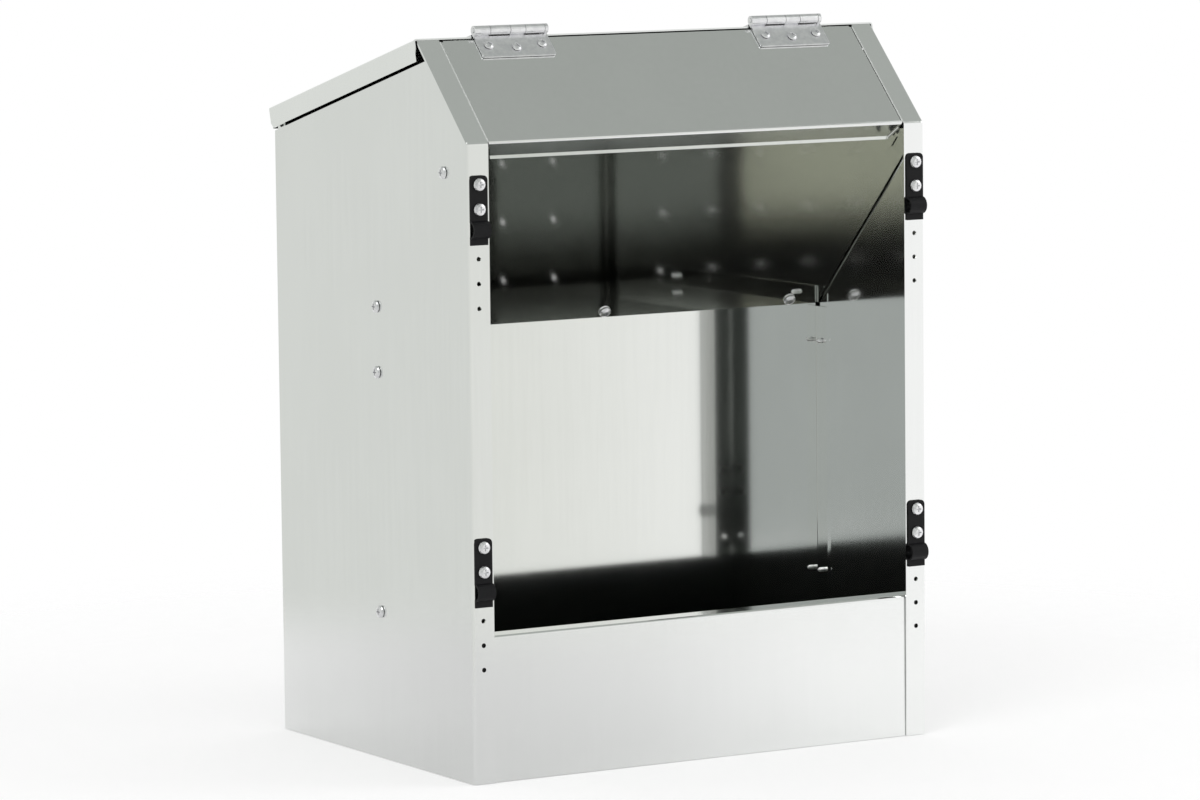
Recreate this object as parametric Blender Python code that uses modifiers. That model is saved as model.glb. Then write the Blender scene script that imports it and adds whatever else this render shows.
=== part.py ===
# Rabbit feeder of folded sheet metal: a feed hopper behind, an open trough in front,
# a lid that swings up on two butt hinges, and four strap clips on the front posts.
# Metres, +Z up, the front faces -Y. The origin is the middle of the underside.

import math

import bmesh
import bpy
from mathutils import Matrix, Vector

# Sheet metal and fits
SHEET = 0.0010
SEAT_GAP = 0.0003
BEND_INSIDE = 0.0007
CREASE_INSIDE = 0.0002
BEND_STEPS = 3
SEAM_FLANGE = 0.012
CORNER_RELIEF = 0.004
FOLD_RELIEF_MARGIN = 0.0003

# Housing
BODY_WIDTH = 0.330
BODY_DEPTH = 0.249
FRONT_HEIGHT = 0.390
ROOF_RUN = 0.0595
ROOF_ANGLE = math.radians(45.0)
POST_WIDTH = 0.015
PANEL_GAP = 0.0005

# Lid
LID_ANGLE = math.radians(14.5)
LID_SETBACK = 0.0015
LID_SIDE_CLEARANCE = 0.0008
LID_OVERHANG = 0.0065
LID_FLANGE = 0.014
LID_GAP = 0.0015
LID_CORNER_RADIUS = 0.003

# Trough, baffle and middle wall
LIP_HEIGHT = 0.090
LIP_DEPTH = 0.015
BAFFLE_TOP_EDGE = 0.0138
RETURN_LAP = 0.010
RETURN_TAPER = 0.0056
BAFFLE_FLANGE_START = 0.024
BAFFLE_FLANGE_END_MARGIN = 0.006
BAFFLE_SLOT_WIDTH = 0.0012
BAFFLE_SLOT_START = 0.0117
BAFFLE_SLOT_END = 0.0205
MID_WALL_SETBACK = 0.1226
FEED_GAP = 0.043
MID_FLANGE_TOP_MARGIN = 0.003
ROOF_SIDE_FLANGE = 0.008

# Dust holes in the floor: a square grid, one column on the middle line
FLOOR_HOLE_DIAMETER = 0.0040
FLOOR_HOLE_PITCH = 0.040
FLOOR_HOLE_FRONT = 0.0415
FLOOR_HOLE_MARGIN = 0.020

# Strap clips on the posts
CLIP_WIDTH = 0.012
CLIP_THICKNESS = 0.0010
CLIP_TOP_MARGIN = 0.0055
CLIP_ARCH_INSIDE = 0.0045
CLIP_ARCH_DROP = 0.0274
CLIP_FOOT = 0.0037
CLIP_CORNER_RADIUS = 0.0028
CLIP_ARCH_STEPS = 10

# Holes in the posts: two groups, each a row down the post
POST_HOLE_DIAMETER = 0.0030
POST_HOLE_PITCH = 0.015
POST_HOLE_COUNT = 6
CLIP_SCREW_COUNT = 2
UPPER_ROW_DROP = 0.025
LOWER_ROW_TOP = 0.145

# Self-tapping pan-head screws
SCREW_HEAD_DIAMETER = 0.0080
SCREW_HEAD_HEIGHT = 0.0022
SCREW_SHANK_DIAMETER = 0.0029
SCREW_CLEARANCE = 0.0003
CLIP_SCREW_LENGTH = 0.0095
SIDE_SCREW_LENGTH = 0.0070
BAFFLE_SCREW_LENGTH = 0.0080
SCREW_SIDES = 14

# Dome and cross recess of every screw head, as shares of its radius and its height
HEAD_DOME = ((0.0, 1.0), (0.55, 0.94), (0.88, 0.66), (1.0, 0.24), (0.94, 0.0))
RECESS_LENGTH = 0.95
RECESS_WIDTH = 0.20
RECESS_DEPTH = 0.65

# Side screws: down the baffle from its front edge, up from its end, down the middle wall
# from its bend and up it from the floor. The inset of the baffle's row is from the side.
BAFFLE_SIDE_SCREW = 0.0336
BAFFLE_SIDE_SCREW_MARGIN = 0.0155
SIDE_SCREW_INSET = 0.0066
MID_WALL_SCREW_DROP = 0.0251
MID_WALL_SCREW_HEIGHT = 0.0923
BAFFLE_SCREW_EDGE = 0.0055
BAFFLE_SCREW_INSET = 0.026

# Butt hinges
HINGE_LENGTH = 0.0516
HINGE_INSET = 0.065
BARREL_RADIUS = 0.0030
PIN_RADIUS = 0.0014
PIN_CLEARANCE = 0.0001
PIN_PROUD = 0.0004
LEAF_WIDTH = 0.020
LEAF_THICKNESS = 0.0012
KNUCKLE_GAP = 0.0003
KNUCKLE_ENDS = (0.0, 0.21, 0.485, 0.69, 0.955, 1.0)
BARREL_SIDES = 20
HINGE_SCREW_INSET = 0.0070
HINGE_SCREW_OUTER = 0.0110
HINGE_SCREW_MIDDLE = 0.0132
HINGE_HEAD_DIAMETER = 0.0064
HINGE_HEAD_HEIGHT = 0.0015
HINGE_SHANK_DIAMETER = 0.0020
HINGE_SCREW_LENGTH = 0.0060

# Sizes that follow from those above
HALF_WIDTH = BODY_WIDTH / 2
FRONT_Y = -BODY_DEPTH / 2
BACK_Y = BODY_DEPTH / 2
LAP = SHEET + SEAT_GAP
INNER_HALF = HALF_WIDTH - LAP
BEND_OUTSIDE = SHEET + BEND_INSIDE
FOLD_RELIEF = BEND_OUTSIDE + FOLD_RELIEF_MARGIN
CREASE_OUTSIDE = SHEET + CREASE_INSIDE
CREASE_RELIEF = CREASE_INSIDE + FOLD_RELIEF_MARGIN
SCREW_HOLE_DIAMETER = SCREW_SHANK_DIAMETER + 2 * SCREW_CLEARANCE
HINGE_HOLE_DIAMETER = HINGE_SHANK_DIAMETER + 2 * SCREW_CLEARANCE
THROUGH_SHEETS = 8 * SHEET
HOLE_SIDES = 12
UPPER_ROW_TOP = FRONT_HEIGHT - UPPER_ROW_DROP
HINGE_OFFSET = HALF_WIDTH - HINGE_INSET
BAFFLE_SCREW_SPACING = HALF_WIDTH - BAFFLE_SCREW_INSET
HINGE_SCREW_PITCH = HINGE_LENGTH / 2 - HINGE_SCREW_INSET


def side(across, y, z):
    """A point of the side profile, moved across the feeder."""
    return Vector((across, y, z))


def meet(point_a, way_a, point_b, way_b):
    """Where two lines of the side profile cross, each a point and a direction."""
    cross = way_a.y * way_b.z - way_a.z * way_b.y
    between = point_b - point_a
    along = (between.y * way_b.z - between.z * way_b.y) / cross
    return point_a + way_a * along


# Lines of the side profile. Each runs in the plane X = 0.
ROOF_WAY = side(0, math.cos(ROOF_ANGLE), math.sin(ROOF_ANGLE))
ROOF_OUT = side(0, -math.sin(ROOF_ANGLE), math.cos(ROOF_ANGLE))
BAFFLE_WAY = -ROOF_OUT
BAFFLE_BACK = ROOF_WAY
LID_WAY = side(0, math.cos(LID_ANGLE), -math.sin(LID_ANGLE))
LID_OUT = side(0, math.sin(LID_ANGLE), math.cos(LID_ANGLE))
UP = Vector((0, 0, 1))
BACKWARD = Vector((0, 1, 0))
SIDEWAYS = Vector((1, 0, 0))

EAVE = side(0, FRONT_Y, FRONT_HEIGHT)
RIDGE = EAVE + ROOF_WAY * (ROOF_RUN / math.cos(ROOF_ANGLE))
LID_FRONT = RIDGE + BACKWARD * LID_SETBACK + UP * SHEET
LID_LENGTH = (BACK_Y + LID_OVERHANG - LID_FRONT.y) / math.cos(LID_ANGLE)
SIDE_TOP = LID_FRONT - LID_OUT * (LID_FLANGE + LID_GAP)

# The hinge axis lies one barrel radius and a seat gap above both roof surfaces.
AXIS_RISE = BARREL_RADIUS + SEAT_GAP
HINGE_AXIS = meet(
    EAVE + ROOF_OUT * AXIS_RISE, ROOF_WAY, LID_FRONT + LID_OUT * AXIS_RISE, LID_WAY
)

MID_WALL_Y = FRONT_Y + MID_WALL_SETBACK
MID_WALL_BEND = meet(side(0, MID_WALL_Y, 0), UP, EAVE, BAFFLE_WAY)

# The baffle lies in front of the strip that the roof panel folds down, and of the middle
# wall's top flange. Its upper corners stay clear of the posts and of their folds.
BAFFLE_FACE = EAVE - BAFFLE_BACK * LAP
BAFFLE_BACK_FACE = EAVE - BAFFLE_BACK * SEAT_GAP
BAFFLE_END = meet(side(0, MID_WALL_Y - SEAT_GAP, 0), UP, BAFFLE_BACK_FACE, BAFFLE_WAY)
BAFFLE_LENGTH = (BAFFLE_END - BAFFLE_BACK_FACE).dot(BAFFLE_WAY)
BAFFLE_EAR_TOP = (BEND_OUTSIDE + SEAT_GAP + LAP * math.sin(ROOF_ANGLE)) / math.cos(ROOF_ANGLE)


def clear_scene():
    for old in list(bpy.data.objects):
        bpy.data.objects.remove(old, do_unlink=True)


def new_collection(name):
    made = bpy.data.collections.new(name)
    bpy.context.scene.collection.children.link(made)
    return made


def make_material(name, colour, roughness, metallic):
    made = bpy.data.materials.new(name)
    made.use_nodes = True
    shader = made.node_tree.nodes["Principled BSDF"]
    shader.inputs["Base Color"].default_value = (*colour, 1.0)
    shader.inputs["Roughness"].default_value = roughness
    shader.inputs["Metallic"].default_value = metallic
    made.diffuse_color = (*colour, 1.0)
    return made


def new_object(name, mesh, collection):
    made = bpy.data.objects.new(name, mesh)
    collection.objects.link(made)
    return made


def smooth(mesh, angle=math.radians(35)):
    mesh.shade_smooth()
    mesh.set_sharp_from_angle(angle=angle)


def sheet_mesh(name, outlines, outward):
    """An open folded surface. Each outline is one flat face, and the first faces outward."""
    made = bmesh.new()
    corners = {}
    for outline in outlines:
        ring = []
        for point in outline:
            key = tuple(round(value, 7) for value in point)
            if key not in corners:
                corners[key] = made.verts.new(point)
            ring.append(corners[key])
        made.faces.new(ring)
    bmesh.ops.recalc_face_normals(made, faces=made.faces)
    made.faces.ensure_lookup_table()
    if made.faces[0].normal.dot(outward) < 0:
        bmesh.ops.reverse_faces(made, faces=made.faces)
    mesh = bpy.data.meshes.new(name)
    made.to_mesh(mesh)
    made.free()
    smooth(mesh)
    return mesh


def add_bends(piece, radius, thickness=SHEET):
    """Round the folds of an open surface, then give it its thickness on the inner side."""
    bend = piece.modifiers.new("bends", "BEVEL")
    bend.width = radius
    bend.segments = BEND_STEPS
    bend.limit_method = "ANGLE"
    bend.angle_limit = math.radians(30)
    bend.use_clamp_overlap = True
    shell = piece.modifiers.new("sheet", "SOLIDIFY")
    shell.thickness = thickness
    shell.offset = -1.0
    shell.use_even_offset = True
    shell.use_quality_normals = True


def add_cut(piece, cutter):
    cut = piece.modifiers.new(cutter.name, "BOOLEAN")
    cut.operation = "DIFFERENCE"
    cut.solver = "EXACT"
    cut.object = cutter


def hide_cutter(cutter):
    cutter.hide_render = True
    cutter.display_type = "WIRE"
    return cutter


def turn_to(direction):
    """The rotation that points local +Z along a direction."""
    return direction.to_track_quat("Z", "Y").to_matrix().to_4x4()


def drill(name, spots, diameter, depth, collection, sides=HOLE_SIDES):
    """One cutter of many round holes. Each spot is a centre and the direction it is drilled."""
    made = bmesh.new()
    for centre, direction in spots:
        place = Matrix.Translation(centre) @ turn_to(direction)
        bmesh.ops.create_cone(
            made,
            cap_ends=True,
            segments=sides,
            radius1=diameter / 2,
            radius2=diameter / 2,
            depth=depth,
            matrix=place,
        )
    mesh = bpy.data.meshes.new(name)
    made.to_mesh(mesh)
    made.free()
    return hide_cutter(new_object(name, mesh, collection))


def box_cutter(name, boxes, collection, place=None):
    """One cutter of separate boxes. Each box is its centre and its full size."""
    made = bmesh.new()
    for centre, size in boxes:
        scale = Matrix.Diagonal((*size, 1.0))
        bmesh.ops.create_cube(made, size=1.0, matrix=Matrix.Translation(centre) @ scale)
    mesh = bpy.data.meshes.new(name)
    made.to_mesh(mesh)
    made.free()
    cutter = hide_cutter(new_object(name, mesh, collection))
    if place is not None:
        cutter.matrix_world = place
    return cutter


def post_hole_spots(side_sign, first, last):
    """Centres of the fixing holes down one post, both groups, from one row up to another."""
    spots = []
    across = side_sign * (HALF_WIDTH - POST_WIDTH / 2)
    for top in (UPPER_ROW_TOP, LOWER_ROW_TOP):
        for row in range(first, last):
            spots.append((side(across, FRONT_Y, top - row * POST_HOLE_PITCH), BACKWARD))
    return spots


def side_screw_spots(side_sign):
    """Screw centres on a side panel: two into the baffle, two into the middle wall."""
    spots = []
    across = side_sign * HALF_WIDTH
    for down in (BAFFLE_SIDE_SCREW, BAFFLE_LENGTH - BAFFLE_SIDE_SCREW_MARGIN):
        point = EAVE + BAFFLE_WAY * down + BAFFLE_BACK * SIDE_SCREW_INSET
        spots.append((side(across, point.y, point.z), SIDEWAYS * side_sign))
    for height in (MID_WALL_BEND.z - MID_WALL_SCREW_DROP, MID_WALL_SCREW_HEIGHT):
        spots.append((side(across, MID_WALL_Y - SIDE_SCREW_INSET, height), SIDEWAYS * side_sign))
    return spots


def baffle_screw_spots():
    """Screw centres along the lower edge of the baffle, on its front face."""
    row = BAFFLE_FACE + BAFFLE_WAY * (BAFFLE_LENGTH - BAFFLE_SCREW_EDGE)
    spots = []
    for across in (-BAFFLE_SCREW_SPACING, 0.0, BAFFLE_SCREW_SPACING):
        spots.append((side(across, row.y, row.z), -BAFFLE_BACK))
    return spots


def hinge_screw_spots(centre_x, way, out, surface):
    """Three screw centres of one leaf, on a surface under the leaf, given a point on it."""
    foot = surface + way * (HINGE_AXIS - surface).dot(way)
    spots = []
    for step in (-1, 0, 1):
        away = HINGE_SCREW_MIDDLE if step == 0 else HINGE_SCREW_OUTER
        point = foot + way * away
        spots.append((side(centre_x + step * HINGE_SCREW_PITCH, point.y, point.z), out))
    return spots


def roof_screw_spots():
    spots = []
    for centre_x in (-HINGE_OFFSET, HINGE_OFFSET):
        spots += hinge_screw_spots(centre_x, -ROOF_WAY, ROOF_OUT, EAVE)
    return spots


def lid_screw_spots():
    spots = []
    for centre_x in (-HINGE_OFFSET, HINGE_OFFSET):
        spots += hinge_screw_spots(centre_x, LID_WAY, LID_OUT, LID_FRONT)
    return spots


def make_side_panel(name, side_sign, parts, cutters, material):
    """The wall with its post flange and roof flange. The wall stops short of the lid."""
    wall_x = side_sign * HALF_WIDTH
    flange_x = side_sign * (HALF_WIDTH - POST_WIDTH)
    back_top = meet(LID_FRONT, LID_WAY, side(0, BACK_Y, 0), UP)
    wall = [
        side(wall_x, FRONT_Y, 0),
        side(wall_x, FRONT_Y, FRONT_HEIGHT),
        side(wall_x, RIDGE.y, RIDGE.z),
        side(wall_x, BACK_Y, back_top.z),
        side(wall_x, BACK_Y, 0),
    ]
    post = [wall[0], side(flange_x, FRONT_Y, 0), side(flange_x, FRONT_Y, FRONT_HEIGHT), wall[1]]
    roof = [wall[1], post[2], side(flange_x, RIDGE.y, RIDGE.z), wall[2]]
    mesh = sheet_mesh(name, [wall, post, roof], SIDEWAYS * side_sign)
    panel = new_object(name, mesh, parts)
    panel.data.materials.append(material)
    add_bends(panel, BEND_OUTSIDE)
    add_cut(panel, make_side_top_cutter(name + "_top", wall_x, cutters))
    spare = post_hole_spots(side_sign, CLIP_SCREW_COUNT, POST_HOLE_COUNT)
    add_cut(panel, drill(name + "_holes", spare, POST_HOLE_DIAMETER, THROUGH_SHEETS, cutters))
    used = post_hole_spots(side_sign, 0, CLIP_SCREW_COUNT) + side_screw_spots(side_sign)
    screws = drill(name + "_screw_holes", used, SCREW_HOLE_DIAMETER, THROUGH_SHEETS, cutters)
    add_cut(panel, screws)
    return panel


def make_side_top_cutter(name, wall_x, cutters):
    """Takes the wall away above its sloped top edge, behind the roof flange's bend."""
    bend_foot = EAVE - ROOF_OUT * (BEND_OUTSIDE + SEAT_GAP)
    far = BODY_DEPTH
    corner = meet(SIDE_TOP, LID_WAY, bend_foot, ROOF_WAY)
    back = corner + LID_WAY * 2 * far
    outline = [corner, back, back + ROOF_WAY * far, corner + ROOF_WAY * far]
    made = bmesh.new()
    half = POST_WIDTH / 2
    ring = [made.verts.new(side(wall_x - half, point.y, point.z)) for point in outline]
    face = made.faces.new(ring)
    pushed = bmesh.ops.extrude_face_region(made, geom=[face])
    moved = [item for item in pushed["geom"] if isinstance(item, bmesh.types.BMVert)]
    bmesh.ops.translate(made, verts=moved, vec=SIDEWAYS * POST_WIDTH)
    bmesh.ops.recalc_face_normals(made, faces=made.faces)
    mesh = bpy.data.meshes.new(name)
    made.to_mesh(mesh)
    made.free()
    return hide_cutter(new_object(name, mesh, cutters))


def make_front_slope_panel(parts, cutters, material):
    """The roof panel between the roof flanges, folded inward on all four sides.
    Its lower fold is a tapered strip that runs down behind the top of the baffle."""
    half = HALF_WIDTH - POST_WIDTH - PANEL_GAP
    inward = -ROOF_OUT
    notch = FOLD_RELIEF

    def at(across, along, down=0.0):
        point = EAVE + ROOF_WAY * along + inward * down
        return side(across, point.y, point.z)

    length = (RIDGE - EAVE).length
    strip_end = half - RETURN_TAPER
    strip_low = BAFFLE_TOP_EDGE + RETURN_LAP
    high = length - notch
    panel = [
        at(-half, 0), at(half, 0), at(half, notch), at(half, high), at(half - notch, high),
        at(half - notch, length), at(-half + notch, length), at(-half + notch, high),
        at(-half, high), at(-half, notch),
    ]
    strip = [panel[0], panel[1], at(strip_end, 0, BAFFLE_TOP_EDGE), at(strip_end, 0, strip_low),
             at(-strip_end, 0, strip_low), at(-strip_end, 0, BAFFLE_TOP_EDGE)]
    depth = ROOF_SIDE_FLANGE
    right = [panel[2], panel[3], at(half, high, depth), at(half, notch, depth)]
    left = [panel[9], panel[8], at(-half, high, depth), at(-half, notch, depth)]
    top = [panel[5], panel[6], at(-half + notch, length, depth), at(half - notch, length, depth)]
    mesh = sheet_mesh("front_slope_panel", [panel, strip, right, left, top], ROOF_OUT)
    made = new_object("front_slope_panel", mesh, parts)
    made.data.materials.append(material)
    add_bends(made, BEND_OUTSIDE)
    spots = roof_screw_spots()
    add_cut(made, drill("front_slope_holes", spots, HINGE_HOLE_DIAMETER, THROUGH_SHEETS, cutters))
    return made


def make_lid(parts, cutters, material):
    """The rear roof, folded down at both sides and at the back."""
    half = HALF_WIDTH + LID_SIDE_CLEARANCE + SHEET
    notch = FOLD_RELIEF
    end = LID_LENGTH - notch

    def at(across, along, down=0.0):
        point = LID_FRONT + LID_WAY * along - LID_OUT * down
        return side(across, point.y, point.z)

    top = [
        at(-half, 0), at(half, 0), at(half, end), at(half - notch, end), at(half - notch, LID_LENGTH),
        at(-half + notch, LID_LENGTH), at(-half + notch, end), at(-half, end),
    ]
    folds = []
    for sign in (-1, 1):
        folds.append([
            at(sign * half, 0), at(sign * half, end),
            at(sign * half, end, LID_FLANGE - LID_CORNER_RADIUS),
            at(sign * half, end - LID_CORNER_RADIUS, LID_FLANGE), at(sign * half, 0, LID_FLANGE),
        ])
    back = [
        top[4], top[5],
        at(-half + notch, LID_LENGTH, LID_FLANGE), at(half - notch, LID_LENGTH, LID_FLANGE),
    ]
    mesh = sheet_mesh("lid", [top, *folds, back], LID_OUT)
    made = new_object("lid", mesh, parts)
    made.data.materials.append(material)
    add_bends(made, BEND_OUTSIDE)
    spots = lid_screw_spots()
    add_cut(made, drill("lid_holes", spots, HINGE_HOLE_DIAMETER, THROUGH_SHEETS, cutters))
    return made


def make_trough_front(parts, material):
    """The lip: a plate behind the posts, folded inward along its top."""
    face_y = FRONT_Y + LAP
    plate = [
        side(-INNER_HALF, face_y, 0), side(INNER_HALF, face_y, 0),
        side(INNER_HALF, face_y, LIP_HEIGHT), side(-INNER_HALF, face_y, LIP_HEIGHT),
    ]
    inward = BACKWARD * LIP_DEPTH
    lip = [plate[3], plate[2], plate[2] + inward, plate[3] + inward]
    mesh = sheet_mesh("trough_front", [plate, lip], -BACKWARD)
    made = new_object("trough_front", mesh, parts)
    made.data.materials.append(material)
    add_bends(made, BEND_OUTSIDE)
    return made


def floor_hole_spots():
    """The grid of dust holes, as many columns and rows as the floor has room for."""
    columns = int((INNER_HALF - FLOOR_HOLE_MARGIN) / FLOOR_HOLE_PITCH)
    rows = 1 + int((BODY_DEPTH - FLOOR_HOLE_MARGIN - FLOOR_HOLE_FRONT) / FLOOR_HOLE_PITCH)
    spots = []
    for row in range(rows):
        y = FRONT_Y + FLOOR_HOLE_FRONT + row * FLOOR_HOLE_PITCH
        for column in range(-columns, columns + 1):
            spots.append((side(column * FLOOR_HOLE_PITCH, y, 0), UP))
    return spots


def make_floor_panel(parts, cutters, material):
    """A tray with an upturned flange on each side and a grid of dust holes, seated inside
    the four walls."""
    half = INNER_HALF
    front = FRONT_Y + 2 * LAP
    back = BACK_Y - LAP
    cut = CORNER_RELIEF
    base = [
        side(-half + cut, front, 0), side(half - cut, front, 0), side(half - cut, front + cut, 0),
        side(half, front + cut, 0), side(half, back - cut, 0), side(half - cut, back - cut, 0),
        side(half - cut, back, 0), side(-half + cut, back, 0), side(-half + cut, back - cut, 0),
        side(-half, back - cut, 0), side(-half, front + cut, 0), side(-half + cut, front + cut, 0),
    ]
    rise = UP * SEAM_FLANGE
    flanges = []
    for start, end in ((0, 1), (3, 4), (6, 7), (9, 10)):
        flanges.append([base[start], base[end], base[end] + rise, base[start] + rise])
    mesh = sheet_mesh("floor_panel", [base, *flanges], -UP)
    made = new_object("floor_panel", mesh, parts)
    made.data.materials.append(material)
    add_bends(made, BEND_OUTSIDE)
    spots = floor_hole_spots()
    add_cut(made, drill("floor_holes", spots, FLOOR_HOLE_DIAMETER, THROUGH_SHEETS, cutters))
    return made


def make_back_panel(parts, material):
    """The rear wall. Its side flanges lie inside the side panels and its sloped top
    flange lies under the lid and carries it when it is shut."""
    half = INNER_HALF
    seat = LID_FRONT - LID_OUT * LAP
    crest = meet(seat, LID_WAY, side(0, BACK_Y, 0), UP)
    low = SEAM_FLANGE + CORNER_RELIEF
    high = crest.z - CORNER_RELIEF
    cut = CORNER_RELIEF
    plate = [
        side(-half, BACK_Y, 0), side(half, BACK_Y, 0), side(half, BACK_Y, low), side(half, BACK_Y, high),
        side(half - cut, BACK_Y, crest.z), side(-half + cut, BACK_Y, crest.z),
        side(-half, BACK_Y, high), side(-half, BACK_Y, low),
    ]
    forward = -BACKWARD * SEAM_FLANGE
    right = [plate[2], plate[3], plate[3] + forward, plate[2] + forward]
    left = [plate[6], plate[7], plate[7] + forward, plate[6] + forward]
    ledge = -LID_WAY * SEAM_FLANGE
    top = [plate[4], plate[5], plate[5] + ledge, plate[4] + ledge]
    mesh = sheet_mesh("back_panel", [plate, right, left, top], BACKWARD)
    made = new_object("back_panel", mesh, parts)
    made.data.materials.append(material)
    add_bends(made, BEND_OUTSIDE)
    return made


def make_baffle(parts, cutters, material):
    """The sheet under the roof, folded back at both sides. Its upper corners reach up past
    the tapered ends of the roof panel's strip."""
    half = INNER_HALF
    ear_low = HALF_WIDTH - POST_WIDTH - PANEL_GAP - RETURN_TAPER
    ear_high = ear_low + RETURN_TAPER * (1 - BAFFLE_EAR_TOP / BAFFLE_TOP_EDGE)
    flange_end = BAFFLE_LENGTH - BAFFLE_FLANGE_END_MARGIN

    def at(across, down, back=0.0):
        point = BAFFLE_FACE + BAFFLE_WAY * down + BAFFLE_BACK * back
        return side(across, point.y, point.z)

    plate = [
        at(-half, BAFFLE_EAR_TOP), at(-ear_high, BAFFLE_EAR_TOP), at(-ear_low, BAFFLE_TOP_EDGE),
        at(ear_low, BAFFLE_TOP_EDGE), at(ear_high, BAFFLE_EAR_TOP), at(half, BAFFLE_EAR_TOP),
        at(half, BAFFLE_FLANGE_START), at(half, flange_end), at(half, BAFFLE_LENGTH),
        at(-half, BAFFLE_LENGTH), at(-half, flange_end), at(-half, BAFFLE_FLANGE_START),
    ]
    start = BAFFLE_FLANGE_START
    right = [plate[6], plate[7], at(half, flange_end, SEAM_FLANGE), at(half, start, SEAM_FLANGE)]
    left = [plate[10], plate[11], at(-half, start, SEAM_FLANGE), at(-half, flange_end, SEAM_FLANGE)]
    mesh = sheet_mesh("baffle", [plate, right, left], -BAFFLE_BACK)
    made = new_object("baffle", mesh, parts)
    made.data.materials.append(material)
    add_bends(made, CREASE_OUTSIDE)
    spots = baffle_screw_spots() + side_screw_spots(-1)[:2] + side_screw_spots(1)[:2]
    add_cut(made, drill("baffle_holes", spots, SCREW_HOLE_DIAMETER, THROUGH_SHEETS, cutters))
    slot_u = (BAFFLE_SLOT_START + BAFFLE_SLOT_END) / 2
    slot_size = (BAFFLE_SLOT_WIDTH, BAFFLE_SLOT_END - BAFFLE_SLOT_START, THROUGH_SHEETS)
    slot_place = Matrix.Translation(EAVE) @ Matrix.Rotation(-ROOF_ANGLE, 4, "X")
    slot_x = HALF_WIDTH - POST_WIDTH
    slots = [(Vector((sign * slot_x, slot_u, 0)), slot_size) for sign in (-1, 1)]
    add_cut(made, box_cutter("baffle_slots", slots, cutters, slot_place))
    return made


def make_mid_wall(parts, cutters, material):
    """The wall between trough and hopper. It ends above the floor for the feed, its side
    flanges fold forward along the side panels and its top flange leans under the baffle."""
    half = INNER_HALF - SHEET
    ledge_half = half - CREASE_RELIEF
    flange_top = MID_WALL_BEND.z - MID_FLANGE_TOP_MARGIN
    crest = MID_WALL_BEND.z
    plate = [
        side(-half, MID_WALL_Y, FEED_GAP), side(half, MID_WALL_Y, FEED_GAP),
        side(half, MID_WALL_Y, flange_top), side(ledge_half, MID_WALL_Y, flange_top),
        side(ledge_half, MID_WALL_Y, crest), side(-ledge_half, MID_WALL_Y, crest),
        side(-ledge_half, MID_WALL_Y, flange_top), side(-half, MID_WALL_Y, flange_top),
    ]
    forward = -BACKWARD * SEAM_FLANGE
    lean = -BAFFLE_WAY * SEAM_FLANGE
    right = [plate[1], plate[2], plate[2] + forward, plate[1] + forward]
    left = [plate[7], plate[0], plate[0] + forward, plate[7] + forward]
    top = [plate[4], plate[5], plate[5] + lean, plate[4] + lean]
    mesh = sheet_mesh("mid_wall", [plate, right, left, top], -BACKWARD)
    made = new_object("mid_wall", mesh, parts)
    made.data.materials.append(material)
    add_bends(made, CREASE_INSIDE)
    spots = baffle_screw_spots() + side_screw_spots(-1)[2:] + side_screw_spots(1)[2:]
    add_cut(made, drill("mid_wall_holes", spots, SCREW_HOLE_DIAMETER, THROUGH_SHEETS, cutters))
    return made


def make_clip(name, across, row_top, parts, cutters, material):
    """A strap clip: a flat with two screw holes, a half-round arch and a short foot."""
    face_y = FRONT_Y - SEAT_GAP - CLIP_THICKNESS
    centre_y = FRONT_Y - SEAT_GAP
    top = row_top + CLIP_TOP_MARGIN
    arch_z = row_top - CLIP_ARCH_DROP
    outer = CLIP_ARCH_INSIDE + CLIP_THICKNESS
    lift = math.asin(CLIP_THICKNESS / outer)
    path = [(face_y, top)]
    for step in range(CLIP_ARCH_STEPS + 1):
        turn = lift + (math.pi - 2 * lift) * step / CLIP_ARCH_STEPS
        path.append((centre_y - outer * math.sin(turn), arch_z + outer * math.cos(turn)))
    path.append((face_y, arch_z - outer - CLIP_FOOT))
    left = across - CLIP_WIDTH / 2
    right = across + CLIP_WIDTH / 2
    strips = []
    for (y_a, z_a), (y_b, z_b) in zip(path, path[1:]):
        upper = [side(left, y_a, z_a), side(right, y_a, z_a)]
        strips.append([*upper, side(right, y_b, z_b), side(left, y_b, z_b)])
    mesh = sheet_mesh(name, strips, -BACKWARD)
    shaped = bmesh.new()
    shaped.from_mesh(mesh)
    corners = [vert for vert in shaped.verts if abs(vert.co.z - top) < SEAT_GAP]
    bmesh.ops.bevel(
        shaped, geom=corners, offset=CLIP_CORNER_RADIUS,
        segments=4, profile=0.5, affect="VERTICES",
    )
    shaped.to_mesh(mesh)
    shaped.free()
    clip = new_object(name, mesh, parts)
    clip.data.materials.append(material)
    shell = clip.modifiers.new("strap", "SOLIDIFY")
    shell.thickness = CLIP_THICKNESS
    shell.offset = -1.0
    shell.use_even_offset = True
    spots = []
    for row in range(CLIP_SCREW_COUNT):
        spots.append((side(across, face_y, row_top - row * POST_HOLE_PITCH), BACKWARD))
    add_cut(clip, drill(name + "_holes", spots, SCREW_HOLE_DIAMETER, THROUGH_SHEETS, cutters))
    return clip


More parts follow.
